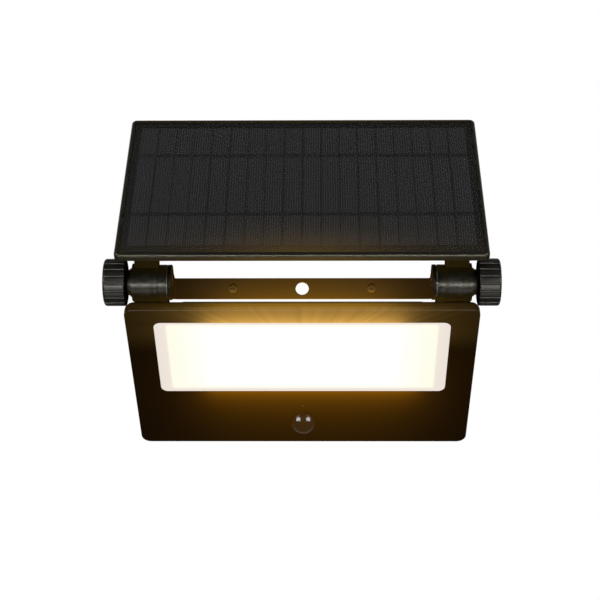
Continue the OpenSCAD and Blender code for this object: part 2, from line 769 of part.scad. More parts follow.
// Cross-section of a knob with rounded grooves between its ribs
module ribbed_outline() difference() {
    circle(knob_r);
    for (i = [0:knob_ribs - 1]) rotate(i * 360 / knob_ribs)
        translate([knob_r + knob_groove_r / 3, 0]) circle(knob_groove_r);
}

// Round outline of a knob, softened at both ends, as points of [radius, x]
function knob_profile() = concat(
    [[0, knob_out], [0, knob_in]],
    arc([knob_r - knob_round / 2, knob_in + knob_round / 2], knob_round / 2, -90, 0, 4),
    arc([knob_r - knob_round, knob_out - knob_round], knob_round, 0, 90, 6)
);

module knob() color("#242220") at_hinge() difference() {
    union() {
        intersection() {
            along_x(knob_in, knob_out) ribbed_outline();
            revolve_x(knob_profile());
        }
        bar_x(hub_r, knob_hub_in, knob_in + 1);
    }
    bar_x(insert_r, knob_hub_in - 1, stud_end + 0.6);
    revolve_x([
        [0, knob_out - knob_dish], [0.62 * knob_r, knob_out - knob_dish],
        [0.7 * knob_r, knob_out + 1], [0, knob_out + 1]
    ]);
}

module knob_insert() color("#b08d4a") at_hinge() difference() {
    bar_x(insert_r, knob_hub_in, stud_end);
    bar_x(bore_r, knob_hub_in - 1, stud_end + 1);
}

module knob_washer() color("#8f9194") at_hinge() difference() {
    bar_x(hub_r + 0.6, boss_out + seat, knob_hub_in);
    bar_x(bore_r, boss_out - 1, knob_hub_in + 1);
}

module knob_left() mirror([1, 0, 0]) knob();
module knob_insert_left() mirror([1, 0, 0]) knob_insert();
module knob_washer_left() mirror([1, 0, 0]) knob_washer();
module knob_right() knob();
module knob_insert_right() knob_insert();
module knob_washer_right() knob_washer();

wall_strap();
strap_screws();
hinge_studs();
friction_washers();
panel_tray();
panel_board();
solar_cells();
cell_busbars();
panel_cover();
panel_arm_left();
panel_arm_right();
panel_arm_screws();
terminal_cover();
panel_grommet();
head_housing();
housing_seal();
front_bezel();
window_lens();
window_gasket();
reflector_tray();
led_board();
led_chips();
control_board();
control_parts();
battery_cell();
battery_cradle();
pir_dome();
pir_retainer();
pir_sensor();
indicator_pipe();
power_switch();
head_grommet();
head_arm_left();
head_arm_right();
head_arm_screws();
housing_screws();
power_button();
knob_left();
knob_insert_left();
knob_washer_left();
knob_right();
knob_insert_right();
knob_washer_right();
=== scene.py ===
import json
import math

import bmesh
import bpy
from mathutils import Matrix, Vector


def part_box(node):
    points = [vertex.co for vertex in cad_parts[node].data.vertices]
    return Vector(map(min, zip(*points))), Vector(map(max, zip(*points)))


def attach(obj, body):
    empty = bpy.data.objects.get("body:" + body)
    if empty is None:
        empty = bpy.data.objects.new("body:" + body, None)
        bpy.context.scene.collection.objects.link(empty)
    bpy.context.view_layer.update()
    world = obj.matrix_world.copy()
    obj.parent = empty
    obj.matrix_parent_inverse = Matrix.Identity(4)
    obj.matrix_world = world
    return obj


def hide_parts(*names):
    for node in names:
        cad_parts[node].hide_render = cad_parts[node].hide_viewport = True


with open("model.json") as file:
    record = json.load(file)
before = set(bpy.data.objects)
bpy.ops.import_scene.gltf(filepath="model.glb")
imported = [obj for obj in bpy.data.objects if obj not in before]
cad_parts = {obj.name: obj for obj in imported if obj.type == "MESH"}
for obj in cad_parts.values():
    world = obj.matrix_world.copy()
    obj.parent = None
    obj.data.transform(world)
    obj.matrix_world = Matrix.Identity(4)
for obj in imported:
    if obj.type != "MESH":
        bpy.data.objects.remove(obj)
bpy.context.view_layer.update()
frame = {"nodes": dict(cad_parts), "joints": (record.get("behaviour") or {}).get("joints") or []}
nodes = frame["nodes"]
mm = 0.001

joints = {joint["name"]: joint for joint in frame["joints"]}
hinge = Vector(joints["panel_tilt"]["pos_m"])   # both halves and both knobs turn on this line
press = Vector(joints["power_button_press"]["axis"])   # along the normal of the lit face
headTurn = math.atan2(-press.y, press.z)
panelTurn = math.radians(90 - joints["panel_tilt"]["range_deg"][1])
print("frame loaded:", len(nodes), "nodes")


def turned(angle):
    # from the frame of the head or the panel to the frame of the whole object
    return Matrix.Translation(hinge) @ Matrix.Rotation(angle, 4, "X")


def extent(name, angle, depthMm=None):
    # lowest and highest corner of a node in the frame of its half, of its front only where a depth is given
    points = [turned(angle).inverted() @ vertex.co for vertex in nodes[name].data.vertices]
    if depthMm is not None:
        front = max(point.z for point in points)
        points = [point for point in points if point.z > front - depthMm * mm]
    return [Vector([pick(point[i] for point in points) for i in range(3)]) for pick in (min, max)]


# camera: below the hinge line and looking up a little, in degrees and millimetres

view = {"lens": 90.5, "distance": 815, "below": 13, "around": 0.75, "roll": 0.12, "drop": 9.6, "side": -1.0}

upright = Matrix.Rotation(math.radians(90 + view["below"]), 3, "X")
look = Matrix.Rotation(math.radians(view["around"]), 3, "Z") @ upright
aim = hinge + look @ Vector((view["side"], -view["drop"], 0)) * mm
cameraData = bpy.data.cameras.new("camera")
cameraData.lens = view["lens"]
cameraData.clip_start = 0.01
camera = bpy.data.objects.new("camera", cameraData)
camera.location = aim + look @ Vector((0, 0, view["distance"])) * mm
camera.rotation_euler = (look @ Matrix.Rotation(math.radians(view["roll"]), 3, "Z")).to_euler()
bpy.context.scene.collection.objects.link(camera)
bpy.context.scene.camera = camera
bpy.context.scene.view_settings.view_transform = "Standard"


def linear(text):
    # sRGB hex to linear
    channels = [int(text[i:i + 2], 16) / 255 for i in (1, 3, 5)]
    return [c / 12.92 if c <= 0.04045 else ((c + 0.055) / 1.055) ** 2.4 for c in channels] + [1]


def addNode(tree, kind, settings=None, links=None):
    # one node, with its settings by property or socket and its links by socket
    made = tree.nodes.new(kind)
    for key, value in (settings or {}).items():
        if isinstance(key, str) and hasattr(made, key):
            setattr(made, key, value)
        else:
            made.inputs[key].default_value = value
    for key, source in (links or {}).items():
        tree.links.new(source, made.inputs[key])
    return made


noiseSpan = {"From Min": 0.3, "From Max": 0.7}   # where most of a noise's values lie


def place(tree, turn=0):
    # object coordinates, in the frame of the head or the panel where a pattern follows it
    where = addNode(tree, "ShaderNodeTexCoord").outputs["Object"]
    if not turn:
        return where
    settings = {"vector_type": "TEXTURE", "Location": hinge, "Rotation": (turn, 0, 0)}
    return addNode(tree, "ShaderNodeMapping", settings, {"Vector": where}).outputs[0]


def grain(tree, shader, spot, sizeMm, depthMm, strength, detail=3):
    # bump from noise whose grains are sizeMm across
    noise = addNode(tree, "ShaderNodeTexNoise", {"Scale": 1 / (sizeMm * mm), "Detail": detail, "Roughness": 0.6},
                    {"Vector": spot})
    bump = addNode(tree, "ShaderNodeBump", {"Strength": strength, "Distance": depthMm * mm},
                   {"Height": noise.outputs["Fac"]})
    tree.links.new(bump.outputs[0], shader.inputs["Normal"])


def unevenGloss(tree, shader, spot, sizeMm, low, high):
    # roughness that drifts between low and high over sizeMm
    drift = addNode(tree, "ShaderNodeTexNoise", {"Scale": 1 / (sizeMm * mm), "Detail": 4}, {"Vector": spot})
    ramp = addNode(tree, "ShaderNodeMapRange", {**noiseSpan, "To Min": low, "To Max": high},
                   {"Value": drift.outputs["Fac"]})
    tree.links.new(ramp.outputs[0], shader.inputs["Roughness"])


def newMaterial(name, finish, turn=0):
    # a principled surface with constant values on its own sockets, then its drifting gloss and its grain
    sockets = {"colour": "Base Color", "roughness": "Roughness", "metallic": "Metallic", "ior": "IOR",
               "specular": "Specular IOR Level", "tint": "Specular Tint", "alpha": "Alpha",
               "glow": "Emission Color", "glowStrength": "Emission Strength"}
    material = bpy.data.materials.new(name)
    material.use_nodes = True
    tree = material.node_tree
    shader = tree.nodes["Principled BSDF"]
    for key, socket in sockets.items():
        if key in finish:
            value = finish[key]
            shader.inputs[socket].default_value = linear(value) if isinstance(value, str) else value
    spot = place(tree, turn)
    if "gloss" in finish:
        unevenGloss(tree, shader, spot, **finish["gloss"])
    if "grain" in finish:
        grain(tree, shader, spot, **finish["grain"])
    return material, tree, shader, spot


def mottle(tree, shader, spot, sizeMm, detail, low, high):
    # base colour that drifts between two tones
    cloud = addNode(tree, "ShaderNodeTexNoise", {"Scale": 1 / (sizeMm * mm), "Detail": detail}, {"Vector": spot})
    tones = addNode(tree, "ShaderNodeMix", {"data_type": "RGBA", 6: linear(low), 7: linear(high)},
                    {"Factor": cloud.outputs["Fac"]})
    tree.links.new(tones.outputs[2], shader.inputs["Base Color"])


def glossWithShadedEnds(tree, shader, specular, inner=0, fades=()):
    # faces square to the hinge line, and all that lies nearer its middle than inner, lose their gloss and stay
    # dark: a painted shade
    where = addNode(tree, "ShaderNodeTexCoord")
    normal = addNode(tree, "ShaderNodeSeparateXYZ", None, {"Vector": where.outputs["Normal"]})
    square = addNode(tree, "ShaderNodeMath", {"operation": "ABSOLUTE"}, {0: normal.outputs["X"]})
    level = addNode(tree, "ShaderNodeMapRange",
                    {"From Min": 0.7, "From Max": 0.95, "To Min": specular, "To Max": 0},
                    {"Value": square.outputs[0]})
    factors = list(fades)
    if inner:
        position = addNode(tree, "ShaderNodeSeparateXYZ", None, {"Vector": where.outputs["Object"]})
        out = addNode(tree, "ShaderNodeMath", {"operation": "ABSOLUTE"}, {0: position.outputs["X"]})
        rim = addNode(tree, "ShaderNodeMath", {"operation": "GREATER_THAN", 1: inner}, {0: out.outputs[0]})
        factors.append(rim.outputs[0])
    for factor in factors:
        level = addNode(tree, "ShaderNodeMath", {"operation": "MULTIPLY"}, {0: level.outputs[0], 1: factor})
    tree.links.new(level.outputs[0], shader.inputs["Specular IOR Level"])


def assign(material, *names):
    for name in names:
        mesh = nodes[name].data
        mesh.materials.clear()
        mesh.materials.append(material)


# the lit window, in the frame of the head, and the light that it spills on what lies round it, painted there as a
# glow

windowLow, windowHigh = extent("window_lens", headTurn, depthMm=0.05)
edgeAbove = turned(headTurn) @ Vector((0, windowHigh.y, windowHigh.z))
edgeBelow = turned(headTurn) @ Vector((0, windowLow.y, windowHigh.z))
upAxis, backAxis = Vector((0, 0, 1)), Vector((0, 1, 0))
headUp, headOut = [turned(headTurn).to_3x3() @ Vector(axis) for axis in ((0, 1, 0), (0, 0, 1))]
panelUp, panelOut = [turned(panelTurn).to_3x3() @ Vector(axis) for axis in ((0, 1, 0), (0, 0, 1))]

# how soft the painted glow's ends are, what faces along X catch of it, and how it fades, as painted shade, on faces
# that look back

spillShape = {"blur": 0.6, "blurMm": 4.5, "sideways": 0.5, "rearFrom": 0.2, "rearTo": 0.7, "rear": 0.1}


def paintedSpill(tree, spot, edge, level, near, half=56, centre=1.3, facing=False):
    # strength of the painted glow round a lit edge along X, in mm: near keeps it finite, half is half the edge's
    # length
    source = (centre * mm, edge.y, edge.z)
    away = addNode(tree, "ShaderNodeVectorMath", {"operation": "SUBTRACT", 1: source}, {0: spot})
    across = addNode(tree, "ShaderNodeSeparateXYZ", None, {"Vector": away.outputs[0]}).outputs["X"]
    flat = addNode(tree, "ShaderNodeVectorMath", {"operation": "MULTIPLY", 1: (0, 1, 1)}, {0: away.outputs[0]})
    reach = addNode(tree, "ShaderNodeVectorMath", {"operation": "LENGTH"}, {0: flat.outputs[0]}).outputs["Value"]
    depth = addNode(tree, "ShaderNodeMath", {"operation": "ADD", 1: near * mm}, {0: reach}).outputs[0]
    blur = addNode(tree, "ShaderNodeMath",
                   {"operation": "MULTIPLY_ADD", 1: spillShape["blur"], 2: spillShape["blurMm"] * mm},
                   {0: reach}).outputs[0]
    angles = []
    for side in (1, -1):
        end = addNode(tree, "ShaderNodeMath", {"operation": "ADD", 1: side * half * mm}, {0: across}).outputs[0]
        angles.append(addNode(tree, "ShaderNodeMath", {"operation": "ARCTAN2"}, {0: end, 1: blur}).outputs[0])
    seen = addNode(tree, "ShaderNodeMath", {"operation": "SUBTRACT"}, {0: angles[0], 1: angles[1]}).outputs[0]
    fall = addNode(tree, "ShaderNodeMath", {"operation": "DIVIDE", 0: level * mm / math.pi}, {1: depth}).outputs[0]
    strength = addNode(tree, "ShaderNodeMath", {"operation": "MULTIPLY"}, {0: seen, 1: fall}).outputs[0]
    if not facing:
        return strength
    # what faces the edge gets the painted glow, what stands square to it half as much, and what looks back hardly,
    # a painted shade
    ray = addNode(tree, "ShaderNodeVectorMath", {"operation": "NORMALIZE"}, {0: flat.outputs[0]})
    normal = addNode(tree, "ShaderNodeTexCoord").outputs["Normal"]
    lean = addNode(tree, "ShaderNodeVectorMath", {"operation": "DOT_PRODUCT"}, {0: ray.outputs[0], 1: normal})
    towards = addNode(tree, "ShaderNodeMapRange", {"From Min": -1, "From Max": 0, "To Min": 1, "To Max": 0},
                      {"Value": lean.outputs["Value"]})
    normal = addNode(tree, "ShaderNodeSeparateXYZ", None, {"Vector": normal})
    sideways = addNode(tree, "ShaderNodeMath", {"operation": "ABSOLUTE"}, {0: normal.outputs["X"]})
    sideways = addNode(tree, "ShaderNodeMath", {"operation": "MULTIPLY", 1: spillShape["sideways"]},
                       {0: sideways.outputs[0]})
    lit = addNode(tree, "ShaderNodeMath", {"operation": "MAXIMUM"},
                  {0: towards.outputs[0], 1: sideways.outputs[0]})
    rear = addNode(tree, "ShaderNodeMapRange",
                   {"From Min": spillShape["rearFrom"], "From Max": spillShape["rearTo"],
                    "To Min": 1, "To Max": spillShape["rear"]}, {"Value": normal.outputs["Y"]})
    for factor in (lit.outputs[0], rear.outputs[0]):
        strength = addNode(tree, "ShaderNodeMath", {"operation": "MULTIPLY"}, {0: strength, 1: factor}).outputs[0]
    return strength


def band(tree, spot, axis, low, high, before=0, after=1, kind="SMOOTHSTEP"):
    # a value that goes from before to after between two distances from the hinge line along an axis, in mm
    start = hinge.dot(axis)
    along = addNode(tree, "ShaderNodeVectorMath", {"operation": "DOT_PRODUCT", 1: axis}, {0: spot})
    ramp = addNode(tree, "ShaderNodeMapRange",
                   {"interpolation_type": kind, "From Min": start + low * mm, "From Max": start + high * mm,
                    "To Min": before, "To Max": after}, {"Value": along.outputs["Value"]})
    return ramp.outputs[0]


def paintGlow(tree, shader, *parts):
    # painted glow: emission that adds up its parts, each a colour and the strengths that multiply to its level
    total = None
    for colour, level, *factors in parts:
        for factor in factors:
            level = addNode(tree, "ShaderNodeMath", {"operation": "MULTIPLY"}, {0: level, 1: factor}).outputs[0]
        part = addNode(tree, "ShaderNodeVectorMath", {"operation": "SCALE", 0: linear(colour)[:3]},
                       {"Scale": level}).outputs[0]
        if total is not None:
            part = addNode(tree, "ShaderNodeVectorMath", {"operation": "ADD"}, {0: total, 1: part}).outputs[0]
        total = part
    tree.links.new(total, shader.inputs["Emission Color"])
    shader.inputs["Emission Strength"].default_value = 1


# colours of the window's light painted as glow: amber above the window, deeper below it

spillTint = {"above": "#ffc35c", "lip": "#ffbd3a", "below": "#ffa516", "strap": "#ffb428", "panel": "#ffc748"}

# ABS moulded in a spark-eroded tool: a fine even grain that keeps highlights broad and soft

mouldedLook = {
    "colour": "#0c0a03", "roughness": 0.36, "ior": 1.53, "sheen": 0.018,
    "gloss": {"sizeMm": 3, "low": 0.24, "high": 0.36},
    "grain": {"sizeMm": 0.5, "depthMm": 0.02, "strength": 0.6},   # really 0.1 mm, drawn coarser so that it shows
    "rings": {"sizeMm": 2.2, "low": 0.7, "high": 1.3},
    # painted glow from the window, and a weaker painted bounce of it off the panel
    "lit": {"level": 9, "near": 10, "half": 44, "centre": 2, "facing": True},
    "bounced": {"level": 3.3, "near": 10, "half": 44, "centre": 2},
    "top": {"axis": upAxis, "low": 1, "high": 5},   # where the painted bounce of the panel's light lies on the barrels
    # gloss fades above the hinge line, a painted shade on the tops of the barrels; the shades below darken the
    # painted glow
    "glossFade": {"axis": upAxis, "low": 0, "high": 5, "before": 1, "after": 0.2},
    "shades": ({"axis": upAxis, "low": 0, "high": 4, "before": 1, "after": 0.65},
               {"axis": upAxis, "low": 8.5, "high": 11, "before": 1, "after": 0.3},   # painted shade: the panel's necks lie behind
               {"axis": backAxis, "low": 2, "high": 8, "before": 1, "after": 0.15}),   # painted shade: the head hides its own arms
}
mouldedAbs, tree, shader, spot = newMaterial("mouldedAbs", mouldedLook)
rings = mouldedLook["rings"]
along = addNode(tree, "ShaderNodeSeparateXYZ", None, {"Vector": spot}).outputs["X"]
drag = addNode(tree, "ShaderNodeTexNoise",
               {"noise_dimensions": "1D", "Scale": 1 / (rings["sizeMm"] * mm), "Detail": 4}, {"W": along})
drag = addNode(tree, "ShaderNodeMapRange", {**noiseSpan, "To Min": rings["low"], "To Max": rings["high"]},
               {"Value": drag.outputs["Fac"]})   # faint rings where the cores were drawn out of the barrels
glossFade = band(tree, spot, **mouldedLook["glossFade"])
glossWithShadedEnds(tree, shader, mouldedLook["sheen"], fades=(glossFade, drag.outputs[0]))
shades = [band(tree, spot, **shade) for shade in mouldedLook["shades"]]
top = band(tree, spot, **mouldedLook["top"])
paintGlow(tree, shader,
      (spillTint["panel"], paintedSpill(tree, spot, edgeAbove, **mouldedLook["lit"]), *shades),
      (spillTint["panel"], paintedSpill(tree, spot, edgeAbove, **mouldedLook["bounced"]), top, *shades))

# the same ABS on the panel's tray, a little glossier, with the window's glow painted on it and a painted shade over
# its back

trayLook = {
    "colour": "#161613", "roughness": 0.3, "specular": 0.026, "tint": "#f3ebc6", "ior": 1.53,
    "gloss": {"sizeMm": 18, "low": 0.24, "high": 0.32},
    "grain": {"sizeMm": 0.5, "depthMm": 0.012, "strength": 0.5},
    "lit": {"level": 10.5, "near": 10, "half": 44, "centre": 2, "facing": True},
    "back": {"from": 1, "to": 2, "level": 0.05}, "edge": 0.25,
}
trayAbs, tree, shader, spot = newMaterial("trayAbs", trayLook)
trayBack = extent("panel_tray", panelTurn)[0].z / mm
back = trayLook["back"]
shade = band(tree, spot, panelOut, trayBack + back["from"], trayBack + back["to"], before=back["level"])
paintGlow(tree, shader, (spillTint["panel"], paintedSpill(tree, spot, edgeAbove, **trayLook["lit"]), shade))

# the same ABS on the lamp housing, with the window's light painted as a warm glow along its hinge edge

housingLook = {
    "colour": "#0d0903", "roughness": 0.4, "specular": 0.02, "ior": 1.53,
    "gloss": {"sizeMm": 18, "low": 0.32, "high": 0.44},
    "grain": {"sizeMm": 0.5, "depthMm": 0.012, "strength": 0.5},
    "lit": {"level": 6.6, "near": 10.2, "half": 50},
    "lip": ({"axis": headOut, "low": 9, "high": 13}, {"axis": headUp, "low": -14, "high": -9}),
    "edge": 0.3,
}
housingAbs, tree, shader, spot = newMaterial("housingAbs", housingLook)
lip = [band(tree, spot, **part) for part in housingLook["lip"]]
paintGlow(tree, shader, (spillTint["lip"], paintedSpill(tree, spot, edgeAbove, **housingLook["lit"]), *lip))

# the same ABS from a polished tool, for the face of the head: thin lines of light along its edges, and the window's
# glow painted round the window

faceLook = {
    "colour": "#070400", "roughness": 0.2, "specular": 0.008, "ior": 1.53,
    "gloss": {"sizeMm": 30, "low": 0.16, "high": 0.24},
    "grain": {"sizeMm": 22, "depthMm": 0.01, "strength": 0.5, "detail": 2},
    "rays": {"behindMm": 30, "scale": 7, "low": 0.9, "high": 1.1},
    "above": {"level": 8.0, "near": 10.2, "half": 54},
    "below": {"level": 1.9, "near": 8, "half": 60, "centre": 5},
    "front": {"axis": headOut, "low": 9, "high": 13},
    "change": (4, 24),   # from the middle of the window, in mm: the painted glow from below it, then from above
    "edge": 0.25,
}
polishedAbs, tree, shader, spot = newMaterial("polishedAbs", faceLook)
rays = faceLook["rays"]
split = addNode(tree, "ShaderNodeSeparateXYZ", None, {"Vector": place(tree, headTurn)})
spread = addNode(tree, "ShaderNodeMath", {"operation": "SUBTRACT", 1: windowHigh.y - rays["behindMm"] * mm},
                 {0: split.outputs["Y"]})
fan = addNode(tree, "ShaderNodeMath", {"operation": "DIVIDE"}, {0: split.outputs["X"], 1: spread.outputs[0]})
streaks = addNode(tree, "ShaderNodeTexNoise", {"noise_dimensions": "1D", "Scale": rays["scale"], "Detail": 2},
                  {"W": fan.outputs[0]})
streaks = addNode(tree, "ShaderNodeMapRange", {**noiseSpan, "To Min": rays["low"], "To Max": rays["high"]},
                  {"Value": streaks.outputs["Fac"]})   # painted faint rays of light fan out from the upper edge of the window
change = [(windowLow.y + windowHigh.y) / 2 / mm + offset for offset in faceLook["change"]]
upper = band(tree, spot, headUp, *change)
lower = band(tree, spot, headUp, *change, before=1, after=0)
front = band(tree, spot, **faceLook["front"])
paintGlow(tree, shader,
      (spillTint["above"], paintedSpill(tree, spot, edgeAbove, **faceLook["above"]), upper, streaks.outputs[0], front),
      (spillTint["below"], paintedSpill(tree, spot, edgeBelow, **faceLook["below"]), lower, front))

# satin powder coat on bent steel strip: warm black with a little orange peel, and the window's glow painted on it

strapLook = {
    "colour": "#060503", "roughness": 0.5, "sheen": 0.005,
    "gloss": {"sizeMm": 12, "low": 0.4, "high": 0.52},
    "grain": {"sizeMm": 1.1, "depthMm": 0.015, "strength": 0.6},
    "lit": {"level": 12, "near": 14, "half": 46, "centre": 2, "facing": True},
    "edge": 0.35,
}
powderCoat, tree, shader, spot = newMaterial("powderCoat", strapLook)
glossWithShadedEnds(tree, shader, strapLook["sheen"])
paintGlow(tree, shader, (spillTint["strap"], paintedSpill(tree, spot, edgeAbove, **strapLook["lit"])))

# knobs in the moulded ABS with a finer finish, so that each rib carries a line of light
# the hub under them loses its gloss, a painted shade

knobLook = {
    "colour": "#100e0a", "roughness": 0.34, "ior": 1.53, "sheen": 0.022, "hubMm": 1.4,
    "gloss": {"sizeMm": 6, "low": 0.28, "high": 0.4},
    "grain": {"sizeMm": 0.6, "depthMm": 0.01, "strength": 0.4},
}
knobAbs, tree, shader, spot = newMaterial("knobAbs", knobLook)
glossWithShadedEnds(tree, shader, knobLook["sheen"], inner=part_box("knob_right")[0][0] + knobLook["hubMm"] * mm)

# black zinc on studs, strap screws and washers: dark metal with a dull sheen, and the window's glow painted on it

blackZincLook = {
    "colour": "#080604", "roughness": 0.5, "metallic": 0.2, "specular": 0.01,
    "gloss": {"sizeMm": 2, "low": 0.38, "high": 0.52},
    "grain": {"sizeMm": 0.7, "depthMm": 0.01, "strength": 0.4},
    "lit": {"level": 12, "near": 14, "half": 46, "centre": 2, "facing": True},
}
blackZinc, tree, shader, spot = newMaterial("blackZinc", blackZincLook)
paintGlow(tree, shader, (spillTint["strap"], paintedSpill(tree, spot, edgeAbove, **blackZincLook["lit"])))

# bright zinc on the hidden screws: cool grey with cloudy patches

zincLook = {
    "colour": "#8f9092", "roughness": 0.34, "metallic": 1.0,
    "gloss": {"sizeMm": 4, "low": 0.26, "high": 0.42},
    "clouds": {"sizeMm": 3, "detail": 5, "low": "#85878a", "high": "#a3a3a0"},
}
zincSteel, tree, shader, spot = newMaterial("zincSteel", zincLook)
mottle(tree, shader, spot, **zincLook["clouds"])

# turned brass insert: warm metal with fine rings round the hinge line

brassLook = {
    "colour": "#b48d48", "roughness": 0.28, "metallic": 1.0,
    "ringMm": 0.6, "depthMm": 0.02, "strength": 0.4,
}
turnedBrass, tree, shader, spot = newMaterial("turnedBrass", brassLook)
rings = addNode(tree, "ShaderNodeMapping", {"Scale": (1 / (brassLook["ringMm"] * mm), 0, 0)}, {"Vector": spot})
rings = addNode(tree, "ShaderNodeTexNoise", {"Scale": 1, "Detail": 2}, {"Vector": rings.outputs[0]})
bump = addNode(tree, "ShaderNodeBump",
               {"Strength": brassLook["strength"], "Distance": brassLook["depthMm"] * mm},
               {"Height": rings.outputs["Fac"]})
tree.links.new(bump.outputs[0], shader.inputs["Normal"])

# vulcanised fibre: dull grey brown, faintly mottled

fibreLook = {
    "colour": "#4a4640", "roughness": 0.75, "specular": 0.3,
    "flecks": {"sizeMm": 0.8, "detail": 6, "low": "#2a2723", "high": "#3d3933"},
}
fibre, tree, shader, spot = newMaterial("fibre", fibreLook)
mottle(tree, shader, spot, **fibreLook["flecks"])

# silicone rubber for seals, glands and the button cap: matt and slightly dusty

rubberLook = {
    "colour": "#151514", "roughness": 0.7, "specular": 0.25,
    "gloss": {"sizeMm": 5, "low": 0.6, "high": 0.8},
    "grain": {"sizeMm": 0.6, "depthMm": 0.02, "strength": 0.4},
}
rubber = newMaterial("rubber", rubberLook)[0]

# monocrystalline silicon under the laminate: near black, with fine printed fingers along each strip, in mm

cellLook = {
    "roughness": 0.45, "specular": 0.055, "strips": 18,
    "edge": 0.5, "tab": 1.6, "fingerPitch": 1.35, "fingerShare": 0.2, "crystal": 14,
    "unprinted": "#191918", "low": "#1b1b1c", "high": "#202021", "finger": "#363637",
}
siliconCell, tree, shader, spot = newMaterial("siliconCell", cellLook, panelTurn)
split = addNode(tree, "ShaderNodeSeparateXYZ", None, {"Vector": spot})
count = addNode(tree, "ShaderNodeMath", {"operation": "MULTIPLY", 1: 1 / (cellLook["fingerPitch"] * mm)},
                {0: split.outputs["X"]})
phase = addNode(tree, "ShaderNodeMath", {"operation": "FRACT"}, {0: count.outputs[0]})
finger = addNode(tree, "ShaderNodeMath", {"operation": "LESS_THAN", 1: cellLook["fingerShare"]},
                 {0: phase.outputs[0]})
crystal = addNode(tree, "ShaderNodeTexNoise", {"Scale": 1 / (cellLook["crystal"] * mm), "Detail": 3},
                  {"Vector": spot})
depth = addNode(tree, "ShaderNodeMix",
                {"data_type": "RGBA", 6: linear(cellLook["low"]), 7: linear(cellLook["high"])},
                {"Factor": crystal.outputs["Fac"]})
tones = addNode(tree, "ShaderNodeMix", {"data_type": "RGBA", 7: linear(cellLook["finger"])},
                {"Factor": finger.outputs[0], 6: depth.outputs[2]})

# each strip is left unprinted along its edges, and the fingers stop short of the ribbons

cellLow, cellHigh = extent("solar_cells", panelTurn, depthMm=1)
ribbonAt = (cellHigh.y - cellLow.y) / 4   # the ribbons lie half way from the middle to the ends
pitch = (cellHigh.x - cellLow.x) / cellLook["strips"]
along = addNode(tree, "ShaderNodeMath", {"operation": "SUBTRACT", 1: cellLow.x}, {0: split.outputs["X"]})
toEdge = addNode(tree, "ShaderNodeMath", {"operation": "PINGPONG", 1: pitch / 2}, {0: along.outputs[0]})
aside = addNode(tree, "ShaderNodeMath", {"operation": "SUBTRACT", 1: (cellLow.y + cellHigh.y) / 2},
                {0: split.outputs["Y"]})
aside = addNode(tree, "ShaderNodeMath", {"operation": "ABSOLUTE"}, {0: aside.outputs[0]})
toRibbon = addNode(tree, "ShaderNodeMath", {"operation": "SUBTRACT", 1: ribbonAt}, {0: aside.outputs[0]})
toRibbon = addNode(tree, "ShaderNodeMath", {"operation": "ABSOLUTE"}, {0: toRibbon.outputs[0]})
inside = [addNode(tree, "ShaderNodeMath", {"operation": "GREATER_THAN", 1: cellLook[margin] * mm},
                  {0: away.outputs[0]}) for away, margin in ((toEdge, "edge"), (toRibbon, "tab"))]
printed = addNode(tree, "ShaderNodeMath", {"operation": "MULTIPLY"},
                  {0: inside[0].outputs[0], 1: inside[1].outputs[0]})
shown = addNode(tree, "ShaderNodeMix", {"data_type": "RGBA", 6: linear(cellLook["unprinted"])},
                {"Factor": printed.outputs[0], 7: tones.outputs[2]})
tree.links.new(shown.outputs[2], shader.inputs["Base Color"])

# tinned copper ribbon, darkened under the black laminate

ribbonLook = {
    "colour": "#141413", "roughness": 0.5, "specular": 0.05,
    "gloss": {"sizeMm": 1.5, "low": 0.4, "high": 0.6},
}
ribbon = newMaterial("ribbon", ribbonLook)[0]

# black laminate board behind the cells

boardLook = {
    "colour": "#0a0b08", "roughness": 0.5, "specular": 0.05,
    "grain": {"sizeMm": 0.8, "depthMm": 0.02, "strength": 0.4},
}
laminateBoard = newMaterial("laminateBoard", boardLook)[0]

# clear PET laminate over the cells: a thin even sheen, and near the hinge a painted glow of the window's light

coverLook = {
    "colour": "#070806", "roughness": 0.14, "alpha": 0.1, "specular": 0.1, "ior": 1.5,
    "grain": {"sizeMm": 1.4, "depthMm": 0.006, "strength": 0.4},
    "lit": {"level": 24, "near": 0, "half": 30},
    "near": {"axis": panelUp, "low": 0, "high": 42, "before": 1, "after": 0, "kind": "LINEAR"},
}
clearLaminate, tree, shader, spot = newMaterial("clearLaminate", coverLook)
near = band(tree, spot, **coverLook["near"])
paintGlow(tree, shader, (spillTint["panel"], paintedSpill(tree, spot, edgeAbove, **coverLook["lit"]), near, near))

# opal polycarbonate over the lit tray, in mm: a white field, warmer at its sides, in an unlit cream border

windowLook = {
    "colour": "#2e2c2a", "roughness": 0.4, "specular": 0.05,
    "side": 6.5, "end": 2.2, "shift": 0.6, "soft": 0.9, "corner": 3, "warmth": 30, "endWarmth": 5,
    "border": "#e7ded4", "rim": "#ede2d6", "warm": "#fbfae7", "core": "#ffffff",
}
opalWindow, tree, shader, spot = newMaterial("opalWindow", windowLook, headTurn)
split = addNode(tree, "ShaderNodeSeparateXYZ", None, {"Vector": spot})
centre = (windowLow + windowHigh) / 2 + Vector((0, windowLook["shift"] * mm, 0))
half = (windowHigh - windowLow) / 2
inward = []   # distance inwards from the border, along each axis
for i, axis, margin in ((0, "X", windowLook["side"]), (1, "Y", windowLook["end"])):
    shift = addNode(tree, "ShaderNodeMath", {"operation": "SUBTRACT", 1: centre[i]}, {0: split.outputs[axis]})
    away = addNode(tree, "ShaderNodeMath", {"operation": "ABSOLUTE"}, {0: shift.outputs[0]})
    inward.append(addNode(tree, "ShaderNodeMath", {"operation": "SUBTRACT", 0: half[i] - margin * mm},
                          {1: away.outputs[0]}))
nearest = addNode(tree, "ShaderNodeMath", {"operation": "SMOOTH_MIN", 2: windowLook["corner"] * mm},
                  {0: inward[0].outputs[0], 1: inward[1].outputs[0]})
